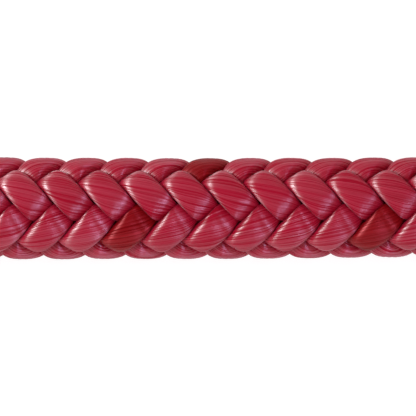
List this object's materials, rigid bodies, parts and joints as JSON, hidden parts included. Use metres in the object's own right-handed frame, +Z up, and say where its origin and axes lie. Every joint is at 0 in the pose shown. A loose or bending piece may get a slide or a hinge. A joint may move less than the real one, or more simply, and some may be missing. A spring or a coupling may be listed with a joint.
{
  "type": "coiled dock line",
  "caption": "Hollow single-braid mooring rope with a tracer strand, whipped end, spliced eye and its length stowed in a tied oval hank.",
  "frame": {"origin": "centre of the footprint, on the surface the line lies on", "axes": "+X along the line, from the whipped bitter end towards the hank and eye; +Z up"},
  "size_m": [0.336, 0.1348, 0.0855],
  "materials": {
    "strand_fibre": "satin twisted filament, rose red",
    "tracer_fibre": "satin twisted filament, deep red",
    "whipping_twine": "waxed twine, dark red",
    "tie_twine": "matt twisted twine, off-white",
    "sealed_end": "melted fibre, semi-gloss"
  },
  "bodies": {
    "root": {"right_lay_strand_1": "strand_fibre", "right_lay_strand_2": "strand_fibre", "right_lay_strand_3": "strand_fibre", "right_lay_strand_4": "strand_fibre", "right_lay_strand_5": "strand_fibre", "right_lay_strand_6": "strand_fibre", "left_lay_strand_1": "strand_fibre", "left_lay_strand_2": "strand_fibre", "left_lay_strand_3": "strand_fibre", "left_lay_strand_4": "strand_fibre", "left_lay_strand_5": "strand_fibre", "tracer_strand": "tracer_fibre", "bitter_end_whipping": "whipping_twine", "throat_whipping": "whipping_twine", "bitter_end_tip": "sealed_end", "lead_in": "strand_fibre", "hank": "strand_fibre", "top_turn": "strand_fibre", "splice": "strand_fibre", "eye_loop": "strand_fibre", "tie_near": "tie_twine", "tie_far": "tie_twine", "tie_knot_near": "tie_twine", "tie_knot_far": "tie_twine"}
  },
  "joints": []
}
